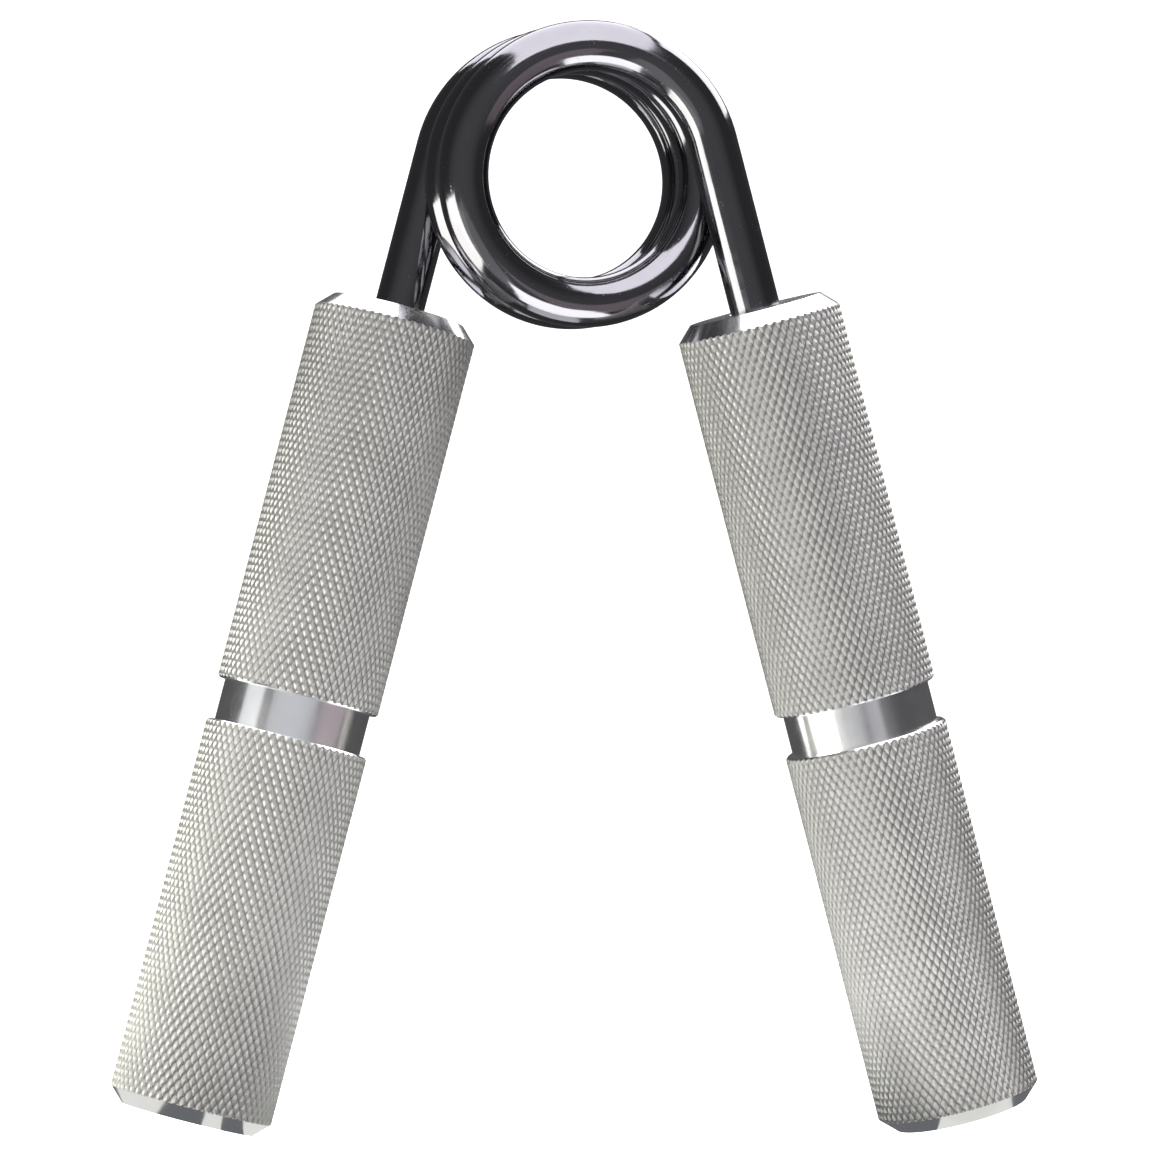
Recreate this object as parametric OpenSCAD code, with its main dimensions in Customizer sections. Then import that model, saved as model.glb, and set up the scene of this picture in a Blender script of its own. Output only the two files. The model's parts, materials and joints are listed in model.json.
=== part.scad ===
// Torsion-spring hand gripper: two turned billet handles on one coiled wire.
// The coil's axis runs along Y, the handles hang below it, and Z points up.
// Each arm is the other one turned half a turn about Z.

/* [Spring] */
// Diameter of the spring wire
wire_d = 7.6; // [5:0.1:9]
// Mean diameter of the coil, to the middle of the wire
coil_mean_d = 38.4; // [30:0.1:50]
// Gap along Y between a leg and the turn beside it
turn_gap = 0.2; // [0.2:0.05:1]
// Whole turns between one leg and the other
whole_turns = 2; // [1:1:4]
// Arc over which the wire leaves a leg and takes up the coil's lead, in degrees
lead_in_arc = 30; // [20:5:60]
// Lean of each leg from upright, in degrees
leg_lean = 15; // [10:0.5:20]
// Bare wire between the coil and the handle
leg_free = 26; // [20:0.5:40]
// Length of wire held inside the handle
leg_held = 62; // [40:1:80]

/* [Handles] */
// Overall length of a handle
handle_l = 126.5; // [100:0.5:160]
// Diameter over the crests of the knurling
handle_d = 25; // [18:0.5:32]
// Size of the 45 degree chamfer at each end
end_chamfer = 2.3; // [1:0.1:4]
// Knurled length above the groove
upper_grip_l = 58.4; // [40:0.1:75]
// Width of the smooth groove
groove_w = 6.4; // [3:0.1:12]
// Depth of the smooth groove below the crests
groove_depth = 1.2; // [0.6:0.1:2]
// Break on each shoulder of the groove
groove_break = 0.35; // [0.2:0.05:0.6]

/* [Fit] */
// Clearance all round between the wire and its bore
bore_clearance = 0.05; // [0.02:0.01:0.15]
// Cut through the wire between the coil and each leg, which lets a leg turn
wire_cut = 0.05; // [0.02:0.01:0.1]
// Space left in the bore past the end of the wire
bore_relief = 3; // [1:0.5:6]
// Included angle of the drill point at the bottom of the bore
drill_point_angle = 118; // [90:1:140]

/* [Hidden] */

$fn = 96;
RING_SIDES = 16;    // corners of the wire's section along the coil
RING_STEP = 7.5;    // degrees of coil between one section and the next
NEAREST_ARC = 20;   // degrees past a leg where the next turn passes closest to it

wire_r = wire_d / 2;
coil_r = coil_mean_d / 2;
handle_r = handle_d / 2;
end_face_r = handle_r - end_chamfer;
pitch = (wire_d + turn_gap) / (1 - (lead_in_arc / 2 + NEAREST_ARC) / 360);

// Angle that the wire is wound through, and how far that carries it along Y
wound = 180 + 360 * whole_turns - 2 * leg_lean;
span = pitch / 360 * (wound - lead_in_arc);

// Distances along a leg, from where it leaves the coil
leg_l = leg_free + leg_held;
foot_at = leg_free + handle_l;

// Height of the coil's axis that puts the lowest rim of the handles at z = 0
foot_drop = max(
    foot_at * cos(leg_lean) + end_face_r * sin(leg_lean),
    (foot_at - end_chamfer) * cos(leg_lean) + handle_r * sin(leg_lean)
);
coil_z = foot_drop - coil_r * sin(leg_lean);

bore_r = wire_r + bore_clearance;
bore_l = leg_held + bore_relief;
drill_point_l = bore_r / tan(drill_point_angle / 2);

// How far along Y the wire has come after an angle a of winding. It starts and
// ends square to the axis, where the straight legs carry on, and climbs evenly between.
function lead(a) =
    a < lead_in_arc ? a * a / (2 * lead_in_arc)
    : a > wound - lead_in_arc ? wound - lead_in_arc - pow(wound - a, 2) / (2 * lead_in_arc)
    : a - lead_in_arc / 2;

function lead_slope(a) =
    a < lead_in_arc ? a / lead_in_arc
    : a > wound - lead_in_arc ? (wound - a) / lead_in_arc
    : 1;

// Middle of the wire after an angle a of winding, and the way the wire runs there
function wire_at(a) = let (b = leg_lean + a)
    [coil_r * cos(b), pitch / 360 * lead(a) - span / 2, coil_z + coil_r * sin(b)];

function wire_run(a) = let (
        b = leg_lean + a,
        along = [-sin(b), 0, cos(b)] * coil_r * PI / 180,
        across = [0, pitch / 360 * lead_slope(a), 0]
    ) (along + across) / norm(along + across);

// One round section of the wire, square to its run
function section(a) = let (
        b = leg_lean + a,
        outward = [cos(b), 0, sin(b)],
        sideways = cross(wire_run(a), outward)
    ) [for (k = [0 : RING_SIDES - 1]) let (c = 360 * k / RING_SIDES)
        wire_at(a) + wire_r * (cos(c) * outward + sin(c) * sideways)];

module spring_coil() {
    rings = ceil(wound / RING_STEP);
    points = [for (i = [0 : rings]) each section(wound * i / rings)];
    walls = [for (i = [0 : rings - 1], k = [0 : RING_SIDES - 1]) let (
            here = i * RING_SIDES + k,
            beside = i * RING_SIDES + (k + 1) % RING_SIDES
        ) each [
            [here, beside, beside + RING_SIDES],
            [here, beside + RING_SIDES, here + RING_SIDES]
        ]];
    first_end = [for (k = [RING_SIDES - 1 : -1 : 0]) k];
    last_end = [for (k = [0 : RING_SIDES - 1]) rings * RING_SIDES + k];
    color("dimgray") polyhedron(points, concat([first_end], walls, [last_end]), convexity = 8);
}

// Puts a shape drawn along +Z on the right leg: z = 0 is where the leg leaves the coil
module on_right_leg() {
    translate([coil_r * cos(leg_lean), -span / 2, coil_z + coil_r * sin(leg_lean)])
        rotate([0, 180 - leg_lean, 0])
            children();
}

module on_left_leg() {
    rotate([0, 0, 180]) on_right_leg() children();
}

module leg() {
    color("dimgray") translate([0, 0, wire_cut]) cylinder(h = leg_l - wire_cut, r = wire_r);
}

// Outline of the billet from its axis outwards, top end at z = leg_free
module billet_outline() {
    groove_r = handle_r - groove_depth;
    top = leg_free;
    bottom = foot_at;
    groove_top = top + end_chamfer + upper_grip_l;
    groove_bottom = groove_top + groove_w;
    polygon([
        [0, top],
        [end_face_r, top],
        [handle_r, top + end_chamfer],
        [handle_r, groove_top - groove_break],
        [handle_r - groove_break, groove_top],
        [groove_r, groove_top],
        [groove_r, groove_bottom],
        [handle_r - groove_break, groove_bottom],
        [handle_r, groove_bottom + groove_break],
        [handle_r, bottom - end_chamfer],
        [end_face_r, bottom],
        [0, bottom]
    ]);
}

module bore() {
    mouth = 1;
    translate([0, 0, leg_free - mouth]) cylinder(h = bore_l + mouth, r = bore_r);
    translate([0, 0, leg_free + bore_l]) cylinder(h = drill_point_l, r1 = bore_r, r2 = 0);
}

module handle() {
    color("silver") difference() {
        rotate_extrude() billet_outline();
        bore();
    }
}

module spring_leg_left() { on_left_leg() leg(); }
module spring_leg_right() { on_right_leg() leg(); }
module handle_left() { on_left_leg() handle(); }
module handle_right() { on_right_leg() handle(); }

spring_coil();
spring_leg_left();
spring_leg_right();
handle_left();
handle_right();
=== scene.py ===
# %% [markdown]
# # A torsion-spring hand gripper
# The real object is three pieces: one length of thick spring wire wound into a coil, and two
# heavy billet handles bored to take the ends of the wire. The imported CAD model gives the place
# and size of all three, and leaves the knurling to this lesson. The looks are built round it:
# first the camera, then the wire, then the handles, then the finishes and the light.

# %% Load the frame
import json
import math

import bmesh
import bpy
from mathutils import Matrix, Vector


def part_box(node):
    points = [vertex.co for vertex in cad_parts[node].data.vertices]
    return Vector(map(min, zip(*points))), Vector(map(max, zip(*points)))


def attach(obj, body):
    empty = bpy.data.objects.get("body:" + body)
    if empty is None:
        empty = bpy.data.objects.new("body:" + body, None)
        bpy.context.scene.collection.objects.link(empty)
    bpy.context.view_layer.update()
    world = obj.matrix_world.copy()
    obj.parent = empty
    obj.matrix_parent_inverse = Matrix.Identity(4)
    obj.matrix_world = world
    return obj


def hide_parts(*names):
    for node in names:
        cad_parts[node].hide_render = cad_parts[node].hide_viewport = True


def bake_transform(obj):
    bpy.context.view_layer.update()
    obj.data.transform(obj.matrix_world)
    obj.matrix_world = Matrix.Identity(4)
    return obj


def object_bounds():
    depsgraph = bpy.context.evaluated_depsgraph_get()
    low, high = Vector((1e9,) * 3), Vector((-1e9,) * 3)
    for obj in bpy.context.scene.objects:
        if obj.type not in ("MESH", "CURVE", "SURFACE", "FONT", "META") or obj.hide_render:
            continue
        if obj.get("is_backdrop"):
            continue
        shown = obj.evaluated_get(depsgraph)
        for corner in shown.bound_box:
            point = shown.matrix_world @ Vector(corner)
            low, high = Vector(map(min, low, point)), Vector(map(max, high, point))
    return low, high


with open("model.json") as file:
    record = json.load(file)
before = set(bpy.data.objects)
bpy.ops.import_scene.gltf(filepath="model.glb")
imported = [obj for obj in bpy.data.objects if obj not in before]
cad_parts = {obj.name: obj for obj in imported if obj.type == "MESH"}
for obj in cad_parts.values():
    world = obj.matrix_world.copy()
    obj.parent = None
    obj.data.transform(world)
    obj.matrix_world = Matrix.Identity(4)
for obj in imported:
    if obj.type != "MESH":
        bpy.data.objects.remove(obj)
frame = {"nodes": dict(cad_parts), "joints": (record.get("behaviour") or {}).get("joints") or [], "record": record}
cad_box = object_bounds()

MM = 0.001
print("nodes:", sorted(frame["nodes"]))
print("CAD box, mm:", [[round(c / MM, 2) for c in corner] for corner in cad_box])

# %% [markdown]
# ## Sizes and places
# Nothing here is judged by eye. The joint gives the middle of the coil, the mounts on the
# handles' end faces give the lean of the arms, and the boxes of the CAD nodes give the
# diameters. The few lengths that a box can't show, such as the free wire between the coil and
# a handle, are repeated from the part's source in millimetres.

# %% Read the sizes
mounts = {mount["name"]: mount for mount in frame["record"]["mounts"]}
coil_middle = Vector(frame["joints"][0]["pos_m"])
down_right_arm = Vector(mounts["end_face_right"]["axis"])
lean = math.atan2(down_right_arm.x, -down_right_arm.z)

handle_low, handle_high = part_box("handle_right")
coil_low, coil_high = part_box("spring_coil")
arm_y = (handle_low.y + handle_high.y) / 2
handle_r = (handle_high.y - handle_low.y) / 2
wire_r = arm_y - coil_low.y
coil_r = coil_high.z - coil_middle.z - wire_r

LEG_FREE = 26 * MM             # bare wire between the coil and a handle
LEG_HELD = 62 * MM             # wire inside a handle
HANDLE_L = 126.5 * MM
print(f"lean {math.degrees(lean):.2f} deg, arm at y {arm_y / MM:.2f}, handle r {handle_r / MM:.3f}, "
      f"wire r {wire_r / MM:.3f}, coil r {coil_r / MM:.3f} mm")

# %% [markdown]
# ## Camera
# The gripper is seen from just left of straight ahead and level with its middle, through a
# long lens from about a metre away, which keeps the two handles nearly parallel to the view.
# The camera comes first, because each later choice is judged through it.

# %% Make the camera
VIEW_AZIMUTH, VIEW_ELEVATION = -14.7, 0.4      # degrees
VIEW_DISTANCE = 0.95                           # metres
VIEW_LENS = 195.3                              # mm, on a sensor 36 mm wide
VIEW_MIDDLE = Vector((0.26 * MM, 0, 84.2 * MM))


def around(middle, azimuth, elevation, distance):
    """A place at that distance from middle. Azimuth 0 is straight in front, on the -Y side."""
    a, e = math.radians(azimuth), math.radians(elevation)
    return middle + distance * Vector((math.sin(a) * math.cos(e), -math.cos(a) * math.cos(e), math.sin(e)))


def aim(thing, target):
    """Turns a camera or a lamp, which look down their own -Z, to face the target."""
    thing.rotation_euler = (target - thing.location).to_track_quat("-Z", "Y").to_euler()


def put(name, data):
    """Puts a mesh, camera or lamp in the scene as an object at the origin."""
    thing = bpy.data.objects.new(name, data)
    bpy.context.scene.collection.objects.link(thing)
    return thing


camera = put("camera", bpy.data.cameras.new("camera"))
camera.location = around(VIEW_MIDDLE, VIEW_AZIMUTH, VIEW_ELEVATION, VIEW_DISTANCE)
aim(camera, VIEW_MIDDLE)
camera.data.lens = VIEW_LENS
camera.data.clip_start, camera.data.clip_end = 0.01, 50
bpy.context.scene.camera = camera
print("camera at", [round(c, 3) for c in camera.location])

# %% [markdown]
# ## The wire
# The spring is one bar of 7.6 mm wire: a straight leg, nearly two and a half turns, and a
# second straight leg. It could be a curve with a round bevel, but a bmesh ring that is drawn out
# and spun does what the coiling machine does, and it can carry a note of where each point sat on
# the straight bar. The finish uses that note later, so its drawing marks follow the wire.
#
# The pitch isn't quite even. A leg lies square to the coil's axis, so over the first and last
# 30 degrees the wire eases into its lead.

# %% Sizes of the wire
WIRE_SIDES = 48
WIRE_CHAMFER = 0.6 * MM
WIRE_SHARP = math.radians(30)  # an edge that turns more than this is shaded as a corner
WHOLE_TURNS = 2
SPIN_STEP = 3                  # degrees of coil between one ring and the next
LEAD_IN = 30                   # degrees over which the wire takes up its lead
wound = 180 + 360 * WHOLE_TURNS - 2 * round(math.degrees(lean), 3)
pitch = -2 * arm_y * 360 / (wound - LEAD_IN)
print(f"wound through {wound:.1f} deg with a pitch of {pitch / MM:.3f} mm")


def lead(a):
    """How far along the coil's axis the wire has come after a degrees of winding."""
    if a < LEAD_IN:
        turned = a * a / (2 * LEAD_IN)
    elif a > wound - LEAD_IN:
        turned = wound - LEAD_IN - (wound - a) ** 2 / (2 * LEAD_IN)
    else:
        turned = a - LEAD_IN / 2
    return pitch / 360 * turned


# %% [markdown]
# Both legs lean outwards as they go down. The coil starts where the right leg's middle line
# just touches the coil's own circle. A leg and a handle are both drawn along Z and then stood
# in place by a matrix of three directions and a place.

# %% Lay out the legs
outward = Vector((math.cos(lean), 0, math.sin(lean)))
up_right_leg = Vector((-math.sin(lean), 0, math.cos(lean)))
down_left_leg = Vector((-math.sin(lean), 0, -math.cos(lean)))
coil_start = coil_middle + outward * coil_r + Vector((0, arm_y, 0))
straight_l = LEG_FREE + LEG_HELD - WIRE_CHAMFER
leg_end = coil_start - up_right_leg * straight_l


def standing(x_axis, y_axis, z_axis, place):
    """The matrix that stands a piece, drawn along Z from the origin, at that place."""
    matrix = Matrix((x_axis, y_axis, z_axis)).transposed().to_4x4()
    matrix.translation = place
    return matrix


print("coil starts at, mm:", [round(c / MM, 2) for c in coil_start])

# %% [markdown]
# The ring starts as a circle on the straight bar's end. Each new ring is copied out of the last
# one, so the two numbers that say where a point sits across the bar come along by themselves,
# and only its distance along the bar is new.

# %% Draw the bar and wind it
drawn = WIRE_CHAMFER           # length of bar behind the newest ring


def points_of(edges):
    return list(dict.fromkeys(vert for edge in edges for vert in edge.verts))


def note_distance(geom, step):
    """Moves the note on newly made points along the bar, and gives back the ring's edges."""
    global drawn
    drawn += step
    for part in geom:
        if isinstance(part, bmesh.types.BMVert):
            part[on_bar].z = drawn
    return [part for part in geom if isinstance(part, bmesh.types.BMEdge)]


def draw_out(edges, way, length):
    """Pulls a rim straight along and gives back the new rim."""
    geom = bmesh.ops.extrude_edge_only(bm, edges=edges)["geom"]
    new_points = [part for part in geom if isinstance(part, bmesh.types.BMVert)]
    bmesh.ops.translate(bm, vec=way * length, verts=new_points)
    return note_distance(geom, length)


bm = bmesh.new()
on_bar = bm.verts.layers.float_vector.new("on_bar")
bmesh.ops.create_circle(bm, cap_ends=False, segments=WIRE_SIDES, radius=wire_r)
for vert in bm.verts:
    vert[on_bar] = vert.co
bmesh.ops.transform(bm, matrix=standing(outward, Vector((0, 1, 0)), up_right_leg, leg_end), verts=bm.verts[:])

first_rim = bm.edges[:]
rim = draw_out(first_rim, up_right_leg, straight_l)
for k in range(round(wound / SPIN_STEP)):
    step = lead((k + 1) * SPIN_STEP) - lead(k * SPIN_STEP)
    spun = bmesh.ops.spin(bm, geom=rim + points_of(rim), cent=coil_middle, axis=(0, -1, 0), dvec=(0, step, 0),
                          angle=math.radians(SPIN_STEP), steps=1)["geom_last"]
    rim = note_distance(spun, math.radians(SPIN_STEP) * coil_r)
last_rim = draw_out(rim, down_left_leg, straight_l)
wire_l = drawn + WIRE_CHAMFER
print(f"wire is {wire_l / MM:.1f} mm long, with {len(bm.verts)} points")

# %% [markdown]
# Both ends are inside the handles, but they are finished as on the real bar: a small chamfer
# from the shears, and a flat end.

# %% Finish the ends of the wire
for rim, way, end in ((first_rim, -up_right_leg, 0.0), (last_rim, down_left_leg, wire_l)):
    drawn = end - WIRE_CHAMFER
    end_rim = draw_out(rim, way, WIRE_CHAMFER)
    verts = points_of(end_rim)
    middle = sum((vert.co for vert in verts), Vector()) / len(verts)
    bmesh.ops.scale(bm, vec=Vector((1, 1, 1)) * (1 - WIRE_CHAMFER / wire_r),
                    space=Matrix.Translation(-middle), verts=verts)
    bmesh.ops.contextual_create(bm, geom=end_rim)
bmesh.ops.recalc_face_normals(bm, faces=bm.faces)
for face in bm.faces:
    face.smooth = len(face.verts) == 4
for edge in bm.edges:
    edge.smooth = edge.calc_face_angle(0) < WIRE_SHARP

wire_mesh = bpy.data.meshes.new("spring_wire")
bm.to_mesh(wire_mesh)
bm.free()
wire = put("spring_wire", wire_mesh)
print("wire faces:", len(wire_mesh.polygons))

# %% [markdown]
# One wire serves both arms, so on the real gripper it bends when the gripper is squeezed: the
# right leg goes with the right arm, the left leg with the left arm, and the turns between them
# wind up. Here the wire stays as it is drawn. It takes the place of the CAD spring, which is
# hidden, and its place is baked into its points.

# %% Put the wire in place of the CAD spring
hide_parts("spring_coil", "spring_leg_left", "spring_leg_right")
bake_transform(wire)

# %% [markdown]
# ## The handles
# A handle starts as a bar that is knurled from end to end. Then it goes in the lathe, where the
# ends are faced and chamfered, the groove is cut, and the bore is drilled. The knurl stops in
# a ragged edge wherever the tool has cut it away. The model is made in the same order: one bar
# of knurl teeth, one smooth solid of everything that the lathe leaves, and what the two have
# in common is the handle. A bump map could stand in for the teeth, but then the outline would
# be a straight line, and on a gripper the teeth show along both edges.

# %% Sizes of the knurl
TEETH_ROUND = 60               # teeth round the bar in one row
TOOTH_L = 2.27 * MM            # length of a tooth along the bar
KNURL_DEPTH = 0.3 * MM
CREST = 0.36                   # width of a tooth's flat top, as a share of the tooth
SADDLE = 0.36                  # height half way along a tooth's side, as a share of the depth
TOOTH_RIM = 0.9                # nearly all the way out from a tooth's middle
SPARE_ROWS = 3                 # rows that the trim at the bar's ends may use up
BAR_OVERRUN = 1 * MM           # length of bar that the lathe takes off each end
TOOTH_MERGE = 0.002 * MM       # neighbouring teeth share the points that are this close
ON_CUT = 0.001 * MM            # how near to a cut a point lies when it is on it
CUT_MARGIN = 0.0001 * MM
valley_r = handle_r - KNURL_DEPTH
tooth_turn = math.tau / TEETH_ROUND
print(f"a tooth is {tooth_turn * handle_r / MM:.2f} x {TOOTH_L / MM} mm")

# %% [markdown]
# One tooth is a diamond with four flanks and a small flat crest. Its rim isn't level: the
# valley is deepest at the diamond's corners, where two grooves cross, and rises to a low saddle
# half way along each side. The tooth is made flat, by insetting a four-sided circle, and is
# then wrapped on to the bar.

# %% Shape one tooth
def tooth(bm):
    """One tooth, on the bar's +X side."""
    bmesh.ops.create_circle(bm, cap_ends=True, segments=4, radius=1)
    bmesh.ops.subdivide_edges(bm, edges=bm.edges[:], cuts=1)
    bmesh.ops.inset_individual(bm, faces=bm.faces[:], thickness=(1 - CREST) * math.sqrt(0.5),
                               use_even_offset=True)
    for vert in bm.verts:
        across, along = vert.co.x, vert.co.y
        on_crest = abs(across) + abs(along) < TOOTH_RIM
        at_corner = max(abs(across), abs(along)) > TOOTH_RIM
        high = 1 if on_crest else 0 if at_corner else SADDLE
        turn, r = across * tooth_turn / 2, valley_r + KNURL_DEPTH * high
        vert.co = (r * math.cos(turn), r * math.sin(turn), along * TOOTH_L / 2)


print(f"valleys {KNURL_DEPTH / MM} mm deep, with saddles {KNURL_DEPTH * SADDLE / MM:.3f} mm high")

# %% [markdown]
# Two wheels roll the knurl, so the teeth lie in rows that are half a step apart. A tooth's side
# corners touch its neighbours in the same row, and its end corners touch the side corners of the
# rows beside it, so the teeth share every edge. One row is spun, its half-step row is a copy,
# and the pair is copied in ever longer runs until the bar is covered.

# %% Roll the knurl
def everything(bm):
    return bm.verts[:] + bm.edges[:] + bm.faces[:]


def copy_of(bm):
    """Copies everything in the mesh and gives back the copy's points."""
    geom = bmesh.ops.duplicate(bm, geom=everything(bm))["geom"]
    return [part for part in geom if isinstance(part, bmesh.types.BMVert)]


def knurled_bar(start, end):
    """A bar knurled all over, along Z."""
    bm = bmesh.new()
    tooth(bm)
    bmesh.ops.spin(bm, geom=everything(bm), cent=(0, 0, 0), axis=(0, 0, 1),
                   angle=math.tau - tooth_turn, steps=TEETH_ROUND - 1, use_duplicate=True)
    half_step = copy_of(bm)
    bmesh.ops.rotate(bm, verts=half_step, cent=(0, 0, 0), matrix=Matrix.Rotation(tooth_turn / 2, 3, "Z"))
    bmesh.ops.translate(bm, verts=half_step, vec=(0, 0, TOOTH_L / 2))
    rows = 1
    while rows * TOOTH_L < end - start + SPARE_ROWS * TOOTH_L:
        bmesh.ops.translate(bm, verts=copy_of(bm), vec=(0, 0, rows * TOOTH_L))
        rows *= 2
    bmesh.ops.remove_doubles(bm, verts=bm.verts[:], dist=TOOTH_MERGE)
    bmesh.ops.translate(bm, verts=bm.verts[:], vec=(0, 0, start - TOOTH_L))
    for z, clear_out in ((start, -1), (end, 1)):
        bmesh.ops.bisect_plane(bm, geom=everything(bm), dist=CUT_MARGIN, plane_co=(0, 0, z),
                               plane_no=(0, 0, clear_out), clear_outer=True)
        rim = [edge for edge in bm.edges
               if edge.is_boundary and all(abs(vert.co.z - z) < ON_CUT for vert in edge.verts)]
        bmesh.ops.contextual_create(bm, geom=rim)
    bmesh.ops.recalc_face_normals(bm, faces=bm.faces)
    mesh = bpy.data.meshes.new("knurled_bar")
    bm.to_mesh(mesh)
    bm.free()
    return mesh


bar_mesh = knurled_bar(-BAR_OVERRUN, HANDLE_L + BAR_OVERRUN)
print("knurled bar faces:", len(bar_mesh.polygons))

# %% [markdown]
# The lathe work is one outline spun round the handle's axis: up the drilled bore, out across
# the faced end, down the outside with its chamfers and groove, and back to the axis. The
# outline is a few points, and a full spin with its ends merged closes it.

# %% Turn the billet
END_CHAMFER = 2.3 * MM
UPPER_GRIP_L = 58.4 * MM
GROOVE_W = 6.4 * MM
GROOVE_DEPTH = 1.2 * MM
GROOVE_BREAK = 0.35 * MM
BORE_CLEARANCE = 0.05 * MM
BORE_MOUTH = 0.3 * MM          # chamfer where the wire goes in
BORE_RELIEF = 3 * MM           # space past the end of the wire
DRILL_POINT = math.radians(118)
PROUD = 0.01 * MM              # the lathe's outline passes this far outside the crests
TURNED_STEPS = 192             # flats round a turned face
TURNED_MERGE = 0.0005 * MM
TURNED_SHARP = math.radians(20)

end_r = handle_r - END_CHAMFER
groove_r = handle_r - GROOVE_DEPTH
crest_r = handle_r + PROUD
groove_top = END_CHAMFER + UPPER_GRIP_L
groove_bottom = groove_top + GROOVE_W
bore_r = wire_r + BORE_CLEARANCE
bore_l = LEG_HELD + BORE_RELIEF
outline = [
    (0, bore_l + bore_r / math.tan(DRILL_POINT / 2)),
    (bore_r, bore_l),
    (bore_r, BORE_MOUTH),
    (bore_r + BORE_MOUTH, 0),
    (end_r, 0),
    (crest_r, END_CHAMFER + PROUD),
    (crest_r, groove_top - GROOVE_BREAK - PROUD),
    (handle_r - GROOVE_BREAK, groove_top),
    (groove_r, groove_top),
    (groove_r, groove_bottom),
    (handle_r - GROOVE_BREAK, groove_bottom),
    (crest_r, groove_bottom + GROOVE_BREAK + PROUD),
    (crest_r, HANDLE_L - END_CHAMFER - PROUD),
    (end_r, HANDLE_L),
    (0, HANDLE_L),
]


def turned(outline):
    """The solid that an outline of (radius, distance) pairs leaves when it is spun round Z."""
    bm = bmesh.new()
    verts = [bm.verts.new((r, 0, z)) for r, z in outline]
    edges = [bm.edges.new(pair) for pair in zip(verts, verts[1:])]
    bmesh.ops.spin(bm, geom=verts + edges, cent=(0, 0, 0), axis=(0, 0, 1), angle=math.tau,
                   steps=TURNED_STEPS, use_merge=True)
    bmesh.ops.remove_doubles(bm, verts=bm.verts[:], dist=TURNED_MERGE)
    bmesh.ops.recalc_face_normals(bm, faces=bm.faces)
    for face in bm.faces:
        face.material_index = 1
    mesh = bpy.data.meshes.new("turned_billet")
    bm.to_mesh(mesh)
    bm.free()
    return mesh


turned_mesh = turned(outline)
print("turned solid faces:", len(turned_mesh.polygons))

# %% [markdown]
# What the knurled bar and the turned solid have in common is a handle. The faces keep a number
# that says which of the two they came from, and so does the finish: 0 is knurled, 1 is turned.
# The materials are named now and get their nodes further down.

# %% Cut one from the other
knurled_finish = bpy.data.materials.new("knurled_satin_aluminium")
turned_finish = bpy.data.materials.new("turned_polished_aluminium")
for mesh in (bar_mesh, turned_mesh):
    mesh.materials.append(knurled_finish)
    mesh.materials.append(turned_finish)

bar, lathe_work = put("bar", bar_mesh), put("lathe_work", turned_mesh)
cut = bar.modifiers.new("lathe", "BOOLEAN")
cut.operation, cut.solver, cut.object = "INTERSECT", "MANIFOLD", lathe_work
cut_bar = bar.evaluated_get(bpy.context.evaluated_depsgraph_get())
handle_mesh = bpy.data.meshes.new_from_object(cut_bar)
for spent in (bar, lathe_work):
    bpy.data.objects.remove(spent)
print("handle faces:", len(handle_mesh.polygons), "slots", [m.name for m in handle_mesh.materials],
      "turned", sum(p.material_index == 1 for p in handle_mesh.polygons))

# %% [markdown]
# The same mesh makes both handles. Before it is set on its leg, each point notes its place in
# the lathe, for the turning marks. The left handle is the right one after half a turn about Z,
# as the wire is.

# %% Set the handles on their legs
def set_handle(name, body, matrix):
    """One handle, moved to its leg, that rides on that body."""
    bm = bmesh.new()
    bm.from_mesh(handle_mesh)
    bmesh.ops.dissolve_degenerate(bm, dist=TURNED_MERGE, edges=bm.edges[:])
    in_lathe = bm.verts.layers.float_vector.new("in_lathe")
    for vert in bm.verts:
        vert[in_lathe] = vert.co
    for face in bm.faces:
        face.smooth = face.material_index == 1
    for edge in bm.edges:
        edge.smooth = (edge.calc_face_angle(0) < TURNED_SHARP
                       and all(face.material_index == 1 for face in edge.link_faces))
    bmesh.ops.transform(bm, matrix=matrix, verts=bm.verts[:])
    mesh = bpy.data.meshes.new(name)
    bm.to_mesh(mesh)
    print(name, "open edges:", sum(not edge.is_manifold for edge in bm.edges),
          "volume, mm3:", round(bm.calc_volume() / MM ** 3))
    bm.free()
    for material in handle_mesh.materials:
        mesh.materials.append(material)
    handle = put(name, mesh)
    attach(handle, body)
    return handle


on_right_leg = standing(outward, Vector((0, -1, 0)), down_right_arm, coil_start + down_right_arm * LEG_FREE)
on_left_leg = Matrix.Rotation(math.pi, 4, "Z") @ on_right_leg
right = set_handle("knurled_handle_right", "finger_arm", on_right_leg)
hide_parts("handle_right")
left = set_handle("knurled_handle_left", "palm_arm", on_left_leg)
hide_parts("handle_left")

# %% [markdown]
# ## Finishes
# Colours are written as they would be picked on a screen and turned to linear light by one
# function. One helper adds a node, with its settings and its links, so a material reads as a
# list of what it is made of.

# %% Helpers for the finishes
def colour(code):
    """A linear colour from an sRGB hex code, by the sRGB standard's own curve."""
    parts = [int(code[k:k + 2], 16) / 255 for k in (1, 3, 5)]
    return (*[p / 12.92 if p <= 0.04045 else ((p + 0.055) / 1.055) ** 2.4 for p in parts], 1)


def add(tree, kind, settings=None, **inputs):
    """Adds a node. An input is given a value, or the output socket that feeds it. _0 and _1
    stand for the first and second inputs of a node whose inputs share one name."""
    node = tree.nodes.new("ShaderNode" + kind)
    for name, value in (settings or {}).items():
        setattr(node, name, value)
    for name, value in inputs.items():
        socket = node.inputs[int(name[1:])] if name[1:].isdigit() else node.inputs[name.replace("_", " ")]
        if isinstance(value, bpy.types.NodeSocket):
            tree.links.new(value, socket)
        else:
            socket.default_value = value
    return node


def blank(owner):
    """The node tree of a material or the world, emptied."""
    owner.use_nodes = True
    owner.node_tree.nodes.clear()
    return owner.node_tree


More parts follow.
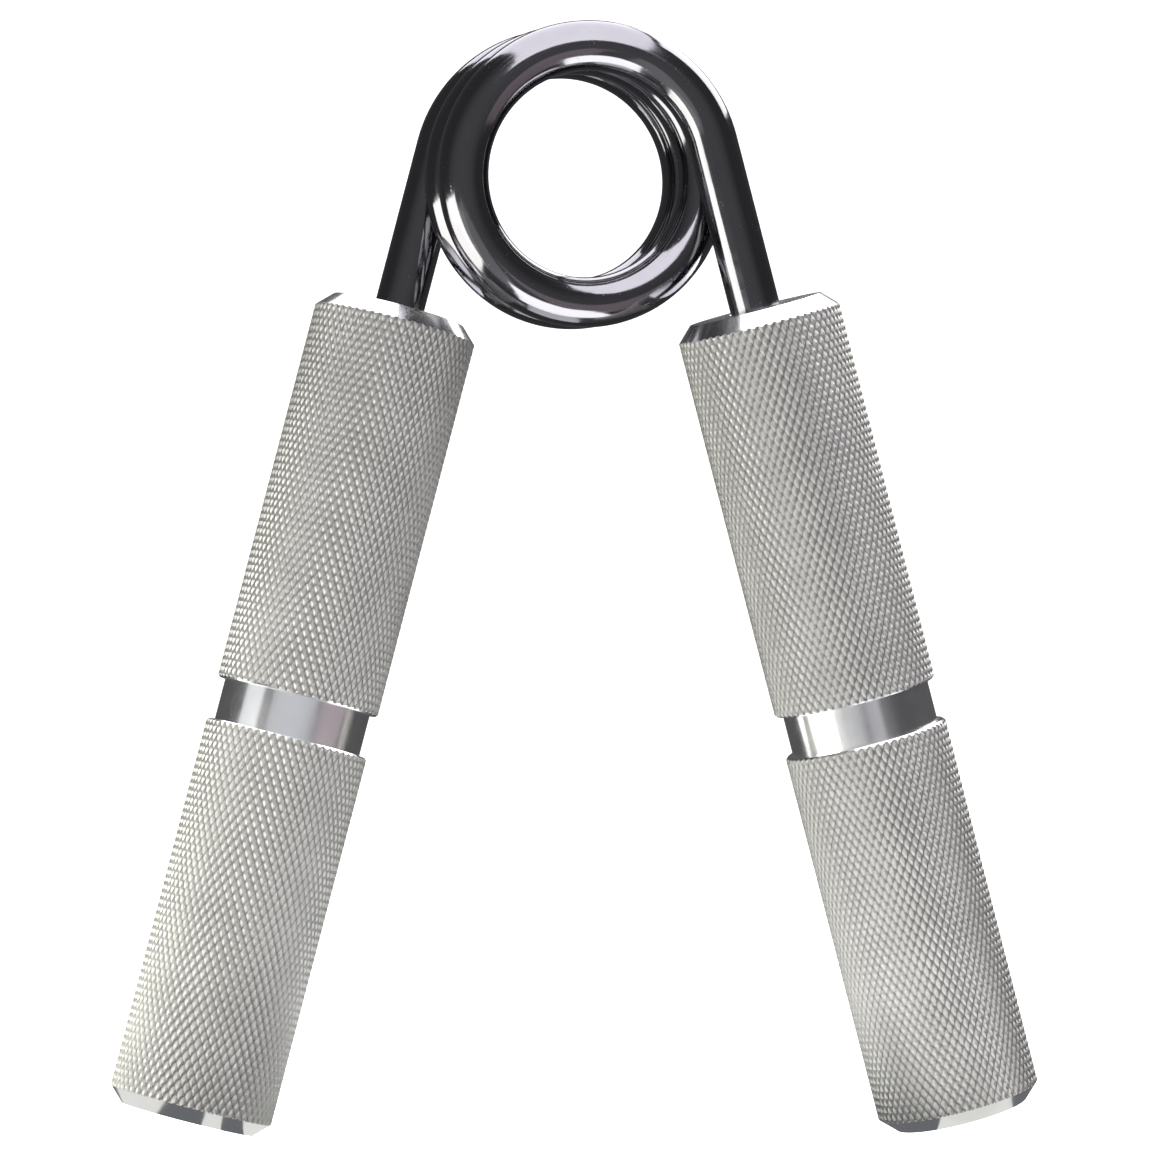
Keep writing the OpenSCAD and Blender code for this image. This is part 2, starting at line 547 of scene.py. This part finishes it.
def shows(tree, shader):
    """Makes that shader the material's surface."""
    add(tree, "OutputMaterial", Surface=shader.outputs[0])


print("mid grey is", [round(c, 3) for c in colour("#808080")])

# %% [markdown]
# ### The wire: dark chrome on spring steel
# Music wire is drawn through a die and plated after it is coiled, so it is smooth and nearly
# black between the lamps it mirrors, with fine lines along it and a few specks. The lines are
# noise on the straight bar's own coordinates, stretched 60 times along it. Real drawing lines
# are a few hundredths of a millimetre wide and too fine to show, so these are about 0.25 mm.

# %% Dark chrome
dark_chrome = bpy.data.materials.new("dark_chrome_on_drawn_spring_steel")
tree = blank(dark_chrome)
place = add(tree, "Attribute", {"attribute_name": "on_bar"}).outputs["Vector"]
stretched = add(tree, "Mapping", Vector=place, Scale=(1, 1, 1 / 60)).outputs[0]
lines = add(tree, "TexNoise", Vector=stretched, Scale=1 / (0.25 * MM), Detail=3.0).outputs["Fac"]
ripple = add(tree, "TexNoise", Vector=place, Scale=1 / (5 * MM), Detail=2.0).outputs["Fac"]
specks = add(tree, "TexNoise", Vector=place, Scale=1 / (0.5 * MM), Detail=2.0).outputs["Fac"]
rough = add(tree, "MapRange", Value=lines, From_Min=0.35, From_Max=0.75, To_Min=0.07, To_Max=0.17).outputs[0]
dust = add(tree, "MapRange", Value=specks, From_Min=0.68, From_Max=0.76, To_Min=0.0, To_Max=0.35).outputs[0]
rough = add(tree, "Math", {"operation": "MAXIMUM"}, _0=rough, _1=dust).outputs[0]
tint = add(tree, "ValToRGB", Fac=ripple)
dark, light = tint.color_ramp.elements
dark.color, light.color = colour("#7a797d"), colour("#828185")
fine = add(tree, "Bump", Height=lines, Strength=0.06, Distance=0.02 * MM).outputs[0]
wavy = add(tree, "Bump", Height=ripple, Strength=0.12, Distance=0.3 * MM, Normal=fine).outputs[0]
shows(tree, add(tree, "BsdfPrincipled", Base_Color=tint.outputs[0], Metallic=1.0, Roughness=rough,
                Normal=wavy))
wire_mesh.materials.append(dark_chrome)
print("finish:", dark_chrome.name)

# %% [markdown]
# Both finishes of a handle need a point's distance from the handle's axis. It tells a tooth's
# crest from its valley on the grips, and it gives the tool marks their rings on the end faces.

# %% Places in the lathe
def in_the_lathe(tree):
    """A point's place in the lathe, its distance from the axis and its distance along it."""
    place = add(tree, "Attribute", {"attribute_name": "in_lathe"}).outputs["Vector"]
    apart = add(tree, "SeparateXYZ", Vector=place)
    flat = add(tree, "CombineXYZ", X=apart.outputs["X"], Y=apart.outputs["Y"])
    radius = add(tree, "VectorMath", {"operation": "LENGTH"}, _0=flat.outputs[0]).outputs["Value"]
    return place, radius, apart.outputs["Z"]


print(f"crests at {handle_r / MM:.2f} mm from the axis, valleys at {valley_r / MM:.2f} mm")

# %% [markdown]
# ### The grips: knurled satin aluminium
# A knurling wheel squeezes the metal up into teeth, and the handle is then tumbled bright. The
# crests are burnished by hands and by the tumbler, and the valleys stay rough. The colour is
# darker down in the valleys and lighter on the crests, which is painted shade in the valleys.
# The tumbler's own grain is under 0.1 mm and wouldn't show, so it is drawn 0.3 mm
# coarse, which breaks up the glint of each tooth.

# %% Knurled aluminium
tree = blank(knurled_finish)
place, radius, _ = in_the_lathe(tree)
height = add(tree, "MapRange", Value=radius, From_Min=valley_r, From_Max=handle_r).outputs[0]
grain = add(tree, "TexNoise", Vector=place, Scale=1 / (0.3 * MM), Detail=4.0).outputs["Fac"]
patch = add(tree, "TexNoise", Vector=place, Scale=1 / (9 * MM), Detail=2.0).outputs["Fac"]
# Dark in the valleys and light on the crests: painted shade in the valleys.
painted_valley_shade = add(tree, "ValToRGB", Fac=height)
dark, light = painted_valley_shade.color_ramp.elements
dark.color, light.color, light.position = colour("#7a7b7c"), colour("#b7b6b3"), 0.45
rough = add(tree, "MapRange", Value=height, To_Min=0.6, To_Max=0.44).outputs[0]
rough = add(tree, "Math", {"operation": "MULTIPLY_ADD"}, _0=grain, _1=0.12, _2=rough).outputs[0]
mottled = add(tree, "MapRange", Value=patch, From_Min=0.3, From_Max=0.7, To_Min=0.94, To_Max=1.06).outputs[0]
tone_with_painted_shade = add(tree, "VectorMath", {"operation": "SCALE"}, _0=painted_valley_shade.outputs[0], Scale=mottled).outputs[0]
bump = add(tree, "Bump", Height=grain, Strength=0.35, Distance=0.03 * MM).outputs[0]
shows(tree, add(tree, "BsdfPrincipled", Base_Color=tone_with_painted_shade, Metallic=1.0, Roughness=rough, Normal=bump))
print("finish:", knurled_finish.name)

# %% [markdown]
# ### The groove, chamfers and end faces: turned and polished aluminium
# A sharp tool leaves rings under 0.1 mm apart, which polishing softens. The rings are noise
# that doesn't change round the handle and changes fast along it. Their scale is 0.14 mm, a
# little coarser than life, so that they still show.

# %% Turned aluminium
tree = blank(turned_finish)
place, radius, along = in_the_lathe(tree)
ring_at = add(tree, "CombineXYZ", X=radius, Z=along).outputs[0]
rings = add(tree, "TexNoise", Vector=ring_at, Scale=1 / (0.14 * MM), Detail=2.0).outputs["Fac"]
smear = add(tree, "TexNoise", Vector=place, Scale=1 / (3 * MM), Detail=3.0).outputs["Fac"]
rough = add(tree, "MapRange", Value=smear, From_Min=0.3, From_Max=0.7, To_Min=0.17, To_Max=0.21).outputs[0]
bump = add(tree, "Bump", Height=rings, Strength=0.25, Distance=0.02 * MM).outputs[0]
tint = add(tree, "ValToRGB", Fac=smear)
dark, light = tint.color_ramp.elements
dark.color, light.color = colour("#eceef0"), colour("#f5f4f2")
shows(tree, add(tree, "BsdfPrincipled", Base_Color=tint.outputs[0], Metallic=1.0, Roughness=rough,
                Normal=bump))
print("finish:", turned_finish.name)

# %% [markdown]
# ## Studio
# Polished metal shows the room more than itself. The gripper stands over a white sweep, but a
# mirror-bright wire must not drown in white, so the sweep is left out of the reflections and
# the metal sees a dark room with a few soft boxes in it.
#
# The sweep lies 11 mm below the feet. On its way to the left handle the right one's foot swings
# about 10 mm lower than it stands at rest, and it must not be cut off by the floor.

# %% Floor
FLOOR_DROP = 11 * MM
SWEEP_REACH = 3                # metres from the middle of the floor to each side
WALL_H = 4
BEND_R = 1
bm = bmesh.new()
bmesh.ops.create_grid(bm, x_segments=1, y_segments=1, size=SWEEP_REACH)
back = [edge for edge in bm.edges if all(vert.co.y > 0 for vert in edge.verts)]
wall = bmesh.ops.extrude_edge_only(bm, edges=back)["geom"]
wall_top = [part for part in wall if isinstance(part, bmesh.types.BMVert)]
bmesh.ops.translate(bm, vec=(0, 0, WALL_H), verts=wall_top)
bend = [edge for edge in bm.edges if not edge.is_boundary]
bmesh.ops.bevel(bm, geom=bend, offset=BEND_R, segments=16, profile=0.5, affect="EDGES", material=-1)
for face in bm.faces:
    face.smooth = True
bmesh.ops.recalc_face_normals(bm, faces=bm.faces)
if sum((face.normal for face in bm.faces), Vector()).z < 0:
    bmesh.ops.reverse_faces(bm, faces=bm.faces[:])
bmesh.ops.translate(bm, vec=(0, 0, -FLOOR_DROP), verts=bm.verts[:])
sweep_mesh = bpy.data.meshes.new("sweep")
bm.to_mesh(sweep_mesh)
bm.free()
sweep = put("sweep", sweep_mesh)
sweep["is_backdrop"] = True
paper = bpy.data.materials.new("white_sweep_paper")
tree = blank(paper)
shows(tree, add(tree, "BsdfPrincipled", Base_Color=colour("#f4f4f4"), Roughness=0.9,
                Emission_Color=colour("#ffffff"), Emission_Strength=0.95))
sweep_mesh.materials.append(paper)
sweep.visible_glossy = False
print("sweep faces:", len(sweep_mesh.polygons))

# %% [markdown]
# ### Soft boxes and cards
# Each bright streak on the wire and each band in the grooves is the mirror image of one lamp,
# so a lamp's place, size and brightness are chosen by what the metal sees in it. An area lamp's
# energy is spread over its size, so the helper works it out from the brightness that is wanted.
#
# A card that suits the mirror-bright wire can be wrong for the satin handles beside it. A
# studio hangs a flag between them. Light linking does the same here: a lamp with a list of
# pieces lights only those.

# %% Kinds of lamp
OVERHEAD = 0.5                 # height of the overhead boxes above the coil's axis, in metres


def soft_box(name, place, target, width, length, brightness, tint="#ffffff", lights=()):
    """A rectangular lamp. Brightness is what a mirror sees in it, where 1 is white paper.
    With lights, it is screened off from everything but those pieces."""
    data = bpy.data.lights.new(name, "AREA")
    data.shape, data.size, data.size_y = "RECTANGLE", width, length
    data.energy, data.color = brightness * math.pi * width * length, colour(tint)[:3]
    lamp = put(name, data)
    lamp.location = place
    aim(lamp, Vector(target))
    lamp.visible_camera = False
    if lights:
        receivers = bpy.data.collections.new(name + "_receivers")
        for piece in lights:
            receivers.objects.link(piece)
        lamp.light_linking.receiver_collection = receivers


def overhead(name, x, y, *size_and_light):
    """A soft box that hangs over the coil and faces down."""
    soft_box(name, (x, y, coil_middle.z + OVERHEAD), (x, y, 0), *size_and_light)


def card(name, middle, azimuth, elevation, distance, *size_and_light):
    """A small soft box that stands off one place on the gripper and faces it."""
    soft_box(name, around(middle, azimuth, elevation, distance), middle, *size_and_light)


def table_card(name, x, y, z, *size_and_light):
    """A small soft box that lies flat, level with the feet, and faces up."""
    soft_box(name, (x, y, z), (x, y, 1), *size_and_light)


print("overhead boxes hang at", round(coil_middle.z + OVERHEAD, 3), "m")

# %% [markdown]
# Two big soft boxes hang overhead and light the tops. Small cards stand round the gripper: low
# on the left, beside the left groove, and in front of the coil, to its left and below it. A long
# dim one in front and one high on the right fill in the handles alone. Others lie flat, level
# with the feet: in front, between the handles, and further out to the left and right. The
# narrowest lie under the feet and put the light bands on the bottom chamfers. Places and sizes
# are in metres, and a card that stands off the gripper has an azimuth, elevation and distance.

# %% Place the lamps
UNDER_CARD_L = 0.036
UNDER_CARD_BRIGHTNESS = 0.68
HANDLE_MIDDLE = Vector((0, 0, 0.075))
GROOVE_MIDDLE = Vector((-0.043, 0.01, 0.062))
handles = [right, left]

overhead("overhead_strip", 0.03, -0.33, 0.56, 2.05, 3.3, "#fbf9ff")
overhead("overhead_right", 0.8, 0.45, 0.9, 1.1, 4.2)
soft_box("left_low_card", (-0.18, -0.02, 0.045), (-0.12, -0.02, 0.125), 0.22, 0.15, 4.5, "#fffff6")
card("left_groove_card", GROOVE_MIDDLE, -78, 12, 0.13, 0.075, 0.05, 0.75, "#fcfdff")
card("left_front_card", coil_middle, -47, -27, 0.3, 0.13, 0.1, 0.25, "#fffff6")
table_card("front_low_card", 0.015, -0.09, 0.001, 0.115, 0.12, 2.3)
table_card("front_low_wire_card", 0.015, -0.09, 0.002, 0.115, 0.12, 2.2, "#ffffff", [wire])
card("front_handle_card", HANDLE_MIDDLE, -15, 5, 0.6, 0.85, 0.22, 0.42, "#f4f8ff", handles)
card("right_high_card", HANDLE_MIDDLE, 92, 42, 0.5, 0.4, 0.35, 2.4, "#ffffff", handles)
table_card("between_card", 0, 0, 0.001, 0.06, 0.08, 1.6)
table_card("floor_left", -0.19, -0.3, 0.001, 0.34, 0.42, 0.3)
table_card("floor_right", 0.2, -0.3, 0.001, 0.34, 0.42, 0.4, "#f2dce4")
for name, x, y, width in (
        ("under_left_a", -0.0775, 0.012, 0.021),
        ("under_left_b", -0.0562, 0.008, 0.0035),
        ("under_left_c", -0.0437, 0.01, 0.0135),
        ("under_right", 0.0602, -0.014, 0.0172)):
    table_card(name, x, y, 0.0003, width, UNDER_CARD_L, UNDER_CARD_BRIGHTNESS, "#fdfdf6")
table_card("under_both", 0, 0.01, 0.0002, 0.19, 0.06, 0.08, "#dfe8f4")

# %% [markdown]
# The room itself is dim and a little lighter in front, low on the left. In the world, Generated
# is the direction that is looked in, so its dot product with one direction gives a soft glow.
# The Standard view transform leaves the brightnesses as they are, so white paper stays white.

# %% Room
GLOW_AZIMUTH, GLOW_ELEVATION = -22, -10        # degrees, as for the camera
world = bpy.data.worlds.new("dim_room")
bpy.context.scene.world = world
tree = blank(world)
looking = add(tree, "TexCoord").outputs["Generated"]
glow_from = around(Vector(), GLOW_AZIMUTH, GLOW_ELEVATION, 1)
towards = add(tree, "VectorMath", {"operation": "DOT_PRODUCT"}, _0=looking, _1=glow_from).outputs["Value"]
glow = add(tree, "MapRange", {"interpolation_type": "SMOOTHSTEP"}, Value=towards, From_Min=0.25, From_Max=1.0,
           To_Min=0.09, To_Max=0.22).outputs[0]
tint = add(tree, "VectorMath", {"operation": "SCALE"}, _0=colour("#fbfaff")[:3], Scale=glow).outputs[0]
room = add(tree, "Background", Color=tint)
add(tree, "OutputWorld", Surface=room.outputs[0])
bpy.context.scene.view_settings.view_transform = "Standard"
print("room:", world.name)

# %% [markdown]
# The looks keep to the box of the CAD model, to about 0.01 mm. Both boxes are printed.

# %% Write the sizes
look_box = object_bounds()
for name, box in (("CAD box", cad_box), ("looks", look_box)):
    print(name + ", mm:", [[round(c / MM, 3) for c in corner] for corner in box])
